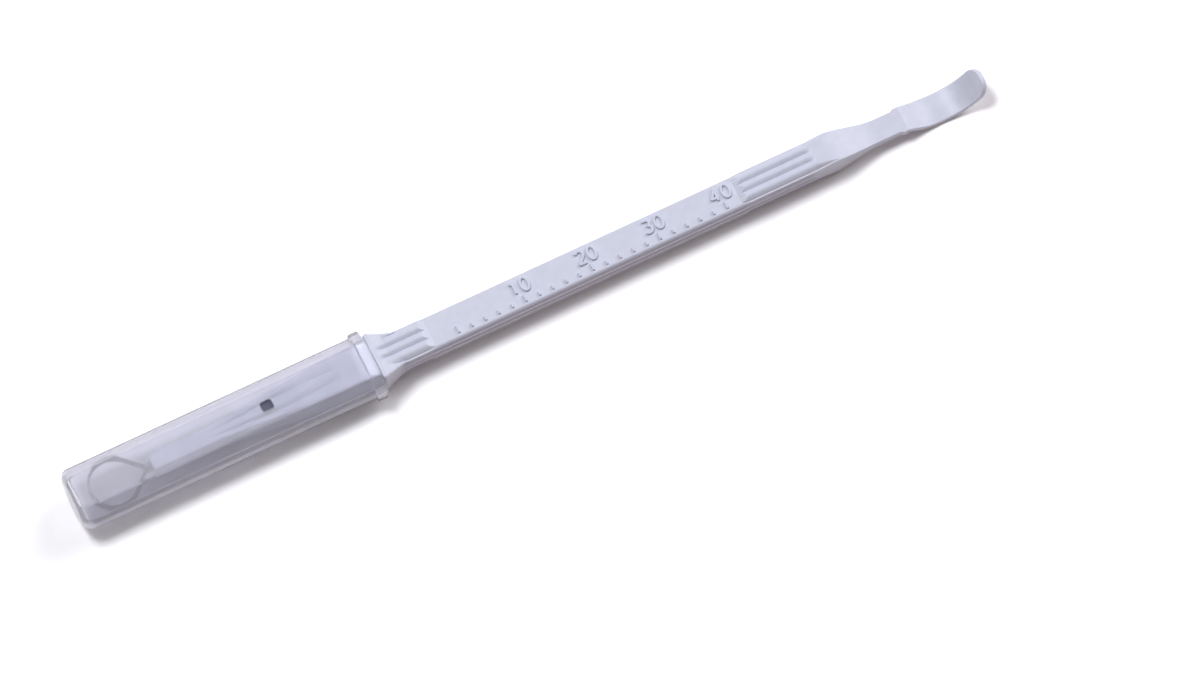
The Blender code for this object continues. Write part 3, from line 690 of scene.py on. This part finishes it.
def build_blade(material):
    """The section stands on the path's mitred normals, where a mitre is at most twice as wide."""
    path = strip_path()
    ahead = np.diff(path, axis=0)
    ahead /= np.linalg.norm(ahead, axis=1, keepdims=True)
    before = np.concatenate([ahead[:1], ahead])
    after = np.concatenate([ahead, ahead[-1:]])
    along = before + after
    along /= np.linalg.norm(along, axis=1, keepdims=True)
    stretch = 1 / np.maximum((along * before).sum(axis=1), 0.5)
    normal = np.stack([along[:, 1], -along[:, 0]], axis=1) * stretch[:, None]
    out, up = strip_section().T
    flat = path[:, None, :] + normal[:, None, :] * out[None, :, None]
    level = np.broadcast_to(up[None, :, None], (*flat.shape[:2], 1))
    rings = np.concatenate([flat, level], axis=-1)
    blade = add_loft("ring_strip", rings, material, "instrument", sharp_angle=30)
    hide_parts("ring_blade")


# Cap: rounded octagons from the closed end, over the flange and through the mouth into the cavity

def octagon(width, height, top_flat, radius, steps=8):
    """(M, 2) octagon with 45-degree bevels. Each corner is an arc of the given radius that touches both
    sides: its middle lies on the corner's bisector at radius / sin(half the corner's angle)."""
    across, up, flat = width / 2, height / 2, top_flat / 2
    side = flat + up - across
    corners = np.array([(flat, up), (across, side), (across, -side), (flat, -up),
                        (-flat, -up), (-across, -side), (-across, side), (-flat, up)])
    before = np.roll(corners, 1, axis=0) - corners
    after = np.roll(corners, -1, axis=0) - corners
    before /= np.linalg.norm(before, axis=1, keepdims=True)
    after /= np.linalg.norm(after, axis=1, keepdims=True)
    bisector = before + after
    bisector /= np.linalg.norm(bisector, axis=1, keepdims=True)
    half_angle = np.arccos((before * bisector).sum(axis=1))
    middle = corners + bisector * (radius / np.sin(half_angle))[:, None]
    start = before * (radius / np.tan(half_angle))[:, None] + corners - middle
    end = after * (radius / np.tan(half_angle))[:, None] + corners - middle
    t = np.linspace(0.0, 1.0, steps)[None, :, None]
    arc = mix(start[:, None, :], end[:, None, :], t)
    arc /= np.linalg.norm(arc, axis=2, keepdims=True)
    return (middle[:, None, :] + arc * radius).reshape(-1, 2)


def quarter_turn(radius, steps):
    """Inset and distance along a quarter circle, from full inset to none."""
    angle = np.linspace(0.0, math.pi / 2, steps)
    return radius * (1 - np.sin(angle)), radius * (1 - np.cos(angle))


def cap_sections():
    """x and outline of each ring. An inset shrinks the octagon on all sides. At the closed ends, where the
    plan is rounder than the side view, it shrinks the width, and a smaller one, low, shrinks the height."""
    def shrunk(width, height, top_flat, inset, low, radius):
        """The octagon less its insets, with its flat narrowed so that the bevels move in too."""
        if low is None:
            return octagon(width - 2 * inset, height - 2 * inset, top_flat - FLAT_SHRINK * inset, radius)
        flat = top_flat - 2 * inset + END_FLAT_GROWTH * low
        return octagon(width - 2 * inset, height - 2 * low, flat, radius)

    def outer(inset, low=None):
        """The cap's outside."""
        return shrunk(CAP_WIDTH, CAP_HEIGHT, CAP_TOP_FLAT, inset, low, CAP_CORNER)

    def inner(inset, low=None):
        """The cavity's wall."""
        return shrunk(CAVITY_WIDTH, CAVITY_HEIGHT, CAVITY_TOP_FLAT, inset, low, CAVITY_CORNER)

    def low_inset(distance, radius):
        """The inset of a quarter circle of this radius, distance from its start."""
        return radius - math.sqrt(radius ** 2 - max(radius - distance, 0.0) ** 2)

    places, outlines = [], []

    def add(x, outline):
        """Appends a ring."""
        places.append(x)
        outlines.append(outline)

    for inset, distance in zip(*quarter_turn(CAP_END_ROUND[0], 18)):
        add(CAP_END_X + distance, outer(inset, low_inset(distance, CAP_END_ROUND[1])))
    flange_back = CAP_MOUTH_X - FLANGE_LENGTH
    for x in np.linspace(CAP_END_X + CAP_END_ROUND[0], flange_back - FLANGE_FILLET, 12)[1:]:
        add(x, outer(0.0))
    for inset, distance in zip(*quarter_turn(FLANGE_FILLET, 4)):
        add(flange_back - distance, outer(inset - FLANGE_FILLET))
    rim = list(zip(*quarter_turn(FLANGE_ROUND, 6)))
    for inset, distance in rim:
        add(flange_back + distance, outer(inset - FLANGE_PROUD))
    for x in (flange_back + FLANGE_ROUND + FLANGE_KEEP, CAP_MOUTH_X - FLANGE_ROUND - FLANGE_KEEP):
        add(x, outer(-FLANGE_PROUD))
    for inset, distance in reversed(rim):
        add(CAP_MOUTH_X - distance, outer(inset - FLANGE_PROUD))
    for inset, distance in reversed(list(zip(*quarter_turn(MOUTH_ROUND, 4)))):
        add(CAP_MOUTH_X - MOUTH_ROUND + distance, inner(-inset))
    inner_end = CAP_END_X + CAP_END_WALL
    for x in np.linspace(CAP_MOUTH_X - 0.4, inner_end + CAVITY_END_ROUND[0] + 0.2, 12):
        add(x, inner(0.0))
    for inset, distance in reversed(list(zip(*quarter_turn(CAVITY_END_ROUND[0], 14)))):
        add(inner_end + distance, inner(inset, low_inset(distance, CAVITY_END_ROUND[1])))
    return np.array(places), np.array(outlines)


def build_cap(material, shade):
    """The cap's shell with its vent cut out, and a dark piece of painted shade in the bottom of the vent.
    """
    x, outline = cap_sections()
    cap = add_loft("cap_shell", straight_rings(x, outline), material, None, CAP_SHARP_ANGLE)
    cut_vent(cap)
    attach(cap, "cap")
    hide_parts("protective_cap")
    # A dark piece whose colour is painted shade sits just under the vent's hole
    heights = (VENT_FLOOR - VENT_FLOOR_THICKNESS, VENT_FLOOR)
    floor = add_loft("vent_painted_shade", vent_rings(heights, VENT_FLOOR_MARGIN), shade, "cap")


def vent_rings(heights, margin=0.0):
    """A rounded rectangle, larger by margin all round, set at each height."""
    length, width, radius = VENT_SIZE[0] / 2 + margin, VENT_SIZE[1] / 2 + margin, VENT_SIZE[2]
    turn = np.linspace(0.0, math.pi / 2, 8)
    quarter = np.stack([np.cos(turn), np.sin(turn)], axis=1) * radius
    centres = [(length - radius, width - radius), (radius - length, width - radius),
               (radius - length, radius - width), (length - radius, radius - width)]
    corners = []
    for count, centre in enumerate(centres):
        cos, sin = math.cos(count * math.pi / 2), math.sin(count * math.pi / 2)
        corners.append(centre + quarter @ np.array([[cos, sin], [-sin, cos]]))
    outline = np.concatenate(corners) + VENT_AT
    return np.stack([np.concatenate([outline, np.full((len(outline), 1), z)], axis=1) for z in heights])


def cut_vent(cap):
    """Takes the vent out of the upper wall, then keeps the cut mesh without its modifier."""
    heights = (CAVITY_HEIGHT / 2 - VENT_CUT_PAST[0], CAP_HEIGHT / 2 + VENT_CUT_PAST[1])
    cutter = add_loft("vent_cutter", vent_rings(heights), cap.data.materials[0], None)
    cut = cap.modifiers.new("vent", "BOOLEAN")
    cut.operation = "DIFFERENCE"
    cut.solver = "EXACT"
    cut.object = cutter
    depsgraph = bpy.context.evaluated_depsgraph_get()
    finished = bpy.data.meshes.new_from_object(cap.evaluated_get(depsgraph))
    cap.modifiers.clear()
    cap.data = finished
    bpy.data.objects.remove(cutter, do_unlink=True)
    finished.shade_smooth()
    finished.set_sharp_from_angle(angle=math.radians(CAP_SHARP_ANGLE))


# Raised scale on the panel: beads carried along strokes

PANEL_TOP = PANEL_SIDE - PANEL_DIP


def bead_rings(path, width):
    """A raised bead. Its section is a half ellipse squared off by BEAD_POWER, and towards its ends the
    width shrinks on a quarter circle and the height with the root of that."""
    steps = np.concatenate([[0.0], np.cumsum(np.linalg.norm(np.diff(path, axis=0), axis=1))])
    end = width / 2
    fine = np.unique(np.concatenate([np.linspace(0.0, end, 6), np.linspace(end, steps[-1] - end, 40),
                                     np.linspace(steps[-1] - end, steps[-1], 6)]))
    centre = np.stack([np.interp(fine, steps, path[:, k]) for k in range(2)], axis=1)
    along = np.gradient(centre, axis=0)
    along /= np.linalg.norm(along, axis=1, keepdims=True)
    side = np.stack([-along[:, 1], along[:, 0]], axis=1)
    from_end = np.minimum(fine, steps[-1] - fine)
    short = np.clip(1 - from_end / end, 0.0, 1.0)
    size = np.sqrt(np.maximum(1 - short ** 2, BEAD_END ** 2))
    turn = np.linspace(0.0, 2 * math.pi, 25)[:-1]
    across = np.sign(np.cos(turn)) * np.abs(np.cos(turn)) ** BEAD_POWER * width / 2
    up = np.sign(np.sin(turn)) * np.abs(np.sin(turn)) ** BEAD_POWER
    up = np.where(up > 0, up * RELIEF_HEIGHT, up * BEAD_SUNK)
    spot = centre[:, None, :] + side[:, None, :] * (across[None, :, None] * size[:, None, None])
    level = PANEL_TOP + up[None, :] * np.where(up > 0, size[:, None] ** 0.5, 1.0)
    return np.concatenate([spot, level[..., None]], axis=-1)


def arc_stroke(centre, radii, start, end, count=24):
    """Points on an ellipse between two angles in degrees."""
    angle = np.radians(np.linspace(start, end, count))
    return np.stack([centre[0] + radii[0] * np.cos(angle), centre[1] + radii[1] * np.sin(angle)], axis=1)


def digit_strokes(digit):
    """The strokes of a plain numeral in a box 1.2 wide and 2 high, each a line or arcs."""
    if digit == 0:
        return [arc_stroke((0.6, 1.0), (0.6, 1.0), 90, 460, 48)]
    if digit == 1:
        return [np.array([(0.25, 1.55), (0.7, 2.0), (0.7, 0.0)])]
    if digit == 2:
        bow = arc_stroke((0.6, 1.4), (0.55, 0.6), 165, -35)
        return [np.concatenate([bow, [(0.05, 0.0), (1.2, 0.0)]])]
    if digit == 3:
        upper = arc_stroke((0.55, 1.5), (0.5, 0.5), 150, -80)
        lower = arc_stroke((0.55, 0.55), (0.6, 0.55), 85, -150)
        return [np.concatenate([upper, lower])]
    return [np.array([(0.85, 0.0), (0.85, 2.0), (0.0, 0.55), (1.2, 0.55)])]


def build_scale(material):
    """Ticks every two millimetres near the near edge, longer at each full centimetre, with its number."""
    strokes = []
    for step in range(SCALE_STEPS + 1):
        x = SCALE_START + step * SCALE_PITCH
        length = TICK_LENGTHS[0] if step % TICKS_PER_FIGURE == 0 else TICK_LENGTHS[1]
        tick = np.array([(x, TICK_START_Y), (x, TICK_START_Y + length)])
        strokes.append((f"scale_tick_{step:02d}", tick, TICK_WIDTH))
    for tens in range(1, SCALE_STEPS // TICKS_PER_FIGURE + 1):
        x = SCALE_START + tens * TICKS_PER_FIGURE * SCALE_PITCH
        for shift, digit in zip(FIGURE_SHIFTS, (tens, 0)):
            for stroke in digit_strokes(digit):
                figure = stroke * FIGURE_SIZE + [x + shift, FIGURE_Y]
                strokes.append((f"scale_{tens}0_figure_{digit}", figure, RELIEF_WIDTH))
    for name, path, width in strokes:
        rings = bead_rings(path, width)
        bead = add_loft(name, rings, material, "instrument", sharp_angle=60)


# Studio, in metres, with the width of the sensor in millimetres

CAMERA_AZIMUTH = math.radians(-25.25)
CAMERA_ELEVATION = math.radians(70.2)
CAMERA_ROLL = math.radians(-1.15)
CAMERA_DISTANCE = 1.5
CAMERA_TARGET = (0.004728, -0.01129, 0.003363)
VIEW_WIDTH = 0.16
SENSOR_WIDTH = 36.0


def aim(azimuth, elevation, roll):
    """Right, up and back of a view, turned about its own line of sight by roll."""
    back = Vector((math.sin(azimuth) * math.cos(elevation), -math.cos(azimuth) * math.cos(elevation),
                   math.sin(elevation)))
    right = Vector((math.cos(azimuth), math.sin(azimuth), 0.0))
    up = back.cross(right)
    turned = right * math.cos(roll) + up * math.sin(roll)
    return turned, up * math.cos(roll) - right * math.sin(roll), back


def build_camera():
    """A long lens that shows VIEW_WIDTH across the picture at its target."""
    right, up, back = aim(CAMERA_AZIMUTH, CAMERA_ELEVATION, CAMERA_ROLL)
    lens = bpy.data.cameras.new("camera")
    lens.sensor_width = SENSOR_WIDTH
    lens.lens = lens.sensor_width * CAMERA_DISTANCE / VIEW_WIDTH
    lens.clip_end = 20.0
    camera = bpy.data.objects.new("camera", lens)
    rotation = Matrix((right, up, back)).transposed().to_4x4()
    camera.matrix_world = Matrix.Translation(Vector(CAMERA_TARGET) + back * CAMERA_DISTANCE) @ rotation
    bpy.context.collection.objects.link(camera)
    bpy.context.scene.camera = camera


LAMP_DISTANCE = 1.2
# Each lamp has a name, a direction, a width in metres, a power in watts and a colour
LAMPS = (("softbox", (-0.24, 0.35, 1.0), 0.42, 8.8, (1.0, 1.02, 1.07)),
         ("side_softbox", (1.0, 0.35, 0.75), 0.8, 7.0, (1.0, 1.0, 1.05)))
FILL_COLOUR = (1.0, 0.9, 0.87, 1.0)
FILL_STRENGTH = 0.165


def build_light():
    """Two round lamps, one high on the far side and a broad one on the right, and an even, warm fill."""
    for name, towards, size, energy, colour in LAMPS:
        lamp = bpy.data.lights.new(name, "AREA")
        lamp.shape = "DISK"
        lamp.size = size
        lamp.energy = energy
        lamp.color = colour
        light = bpy.data.objects.new(name, lamp)
        direction = Vector(towards).normalized()
        light.location = direction * LAMP_DISTANCE
        light.rotation_euler = direction.to_track_quat("Z", "Y").to_euler()
        bpy.context.collection.objects.link(light)
    world = bpy.data.worlds.new("studio")
    bpy.context.scene.world = world
    world.use_nodes = True
    background = world.node_tree.nodes["Background"]
    background.inputs["Color"].default_value = FILL_COLOUR
    background.inputs["Strength"].default_value = FILL_STRENGTH


def build_table():
    """A flat sheet at z = 0, made of a grid of quads."""
    side = np.linspace(-TABLE_REACH, TABLE_REACH, TABLE_POINTS)
    x, y = np.meshgrid(side, side, indexing="ij")
    points = np.stack([x, y, np.zeros_like(x)], axis=-1).reshape(-1, 3)
    cells = np.arange(TABLE_POINTS - 1)
    row, column = np.meshgrid(cells, cells, indexing="ij")
    first = row * TABLE_POINTS + column
    beyond = first + TABLE_POINTS
    quads = np.stack([first, beyond, beyond + 1, first + 1], axis=-1).reshape(-1, 4)
    table = add_mesh("table", points, quads, table_top(), None)


def build():
    """All pieces, then the table, the light and the camera."""
    plastic = white_plastic()
    build_handle(plastic)
    build_scale(plastic)
    build_blade(stainless_steel())
    build_cap(frosted_cap(), painted_shade_plastic())
    build_table()
    build_light()
    build_camera()
    bpy.context.scene.view_settings.view_transform = "Standard"


build()
